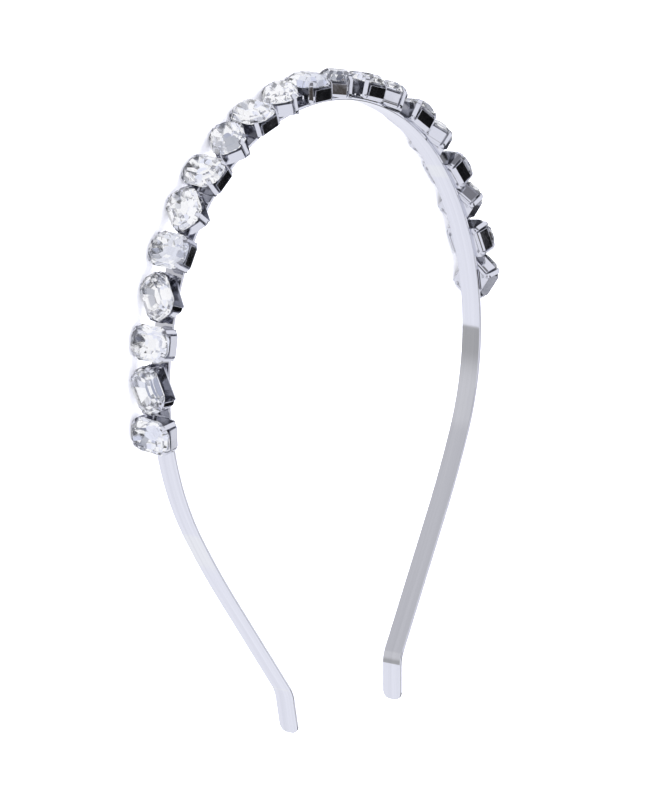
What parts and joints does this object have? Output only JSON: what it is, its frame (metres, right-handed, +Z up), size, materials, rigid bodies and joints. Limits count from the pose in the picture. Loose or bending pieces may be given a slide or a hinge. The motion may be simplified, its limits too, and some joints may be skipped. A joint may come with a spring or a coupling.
{
  "type": "crystal headband",
  "caption": "Sprung flat metal headband carrying a row of rectangular claw-set crystals, each turned against the next, lying on its side.",
  "frame": {"origin": "on the surface it lies on, under the middle of its overall box", "axes": "+X across the head opening to the wearer's left when worn, +Y from the tips to the crown, +Z up, across the strip's width"},
  "size_m": [0.1266, 0.1613, 0.012],
  "materials": {
    "metal": "polished",
    "crystal": "cut and polished, foil behind"
  },
  "bodies": {
    "root": {"band": "metal", "crystal_01": "crystal", "crystal_02": "crystal", "crystal_03": "crystal", "crystal_04": "crystal", "crystal_05": "crystal", "crystal_06": "crystal", "crystal_07": "crystal", "crystal_08": "crystal", "crystal_09": "crystal", "crystal_10": "crystal", "crystal_11": "crystal", "crystal_12": "crystal", "crystal_13": "crystal", "crystal_14": "crystal", "crystal_15": "crystal", "crystal_16": "crystal", "crystal_17": "crystal", "crystal_18": "crystal", "crystal_19": "crystal", "crystal_20": "crystal"}
  },
  "joints": []
}
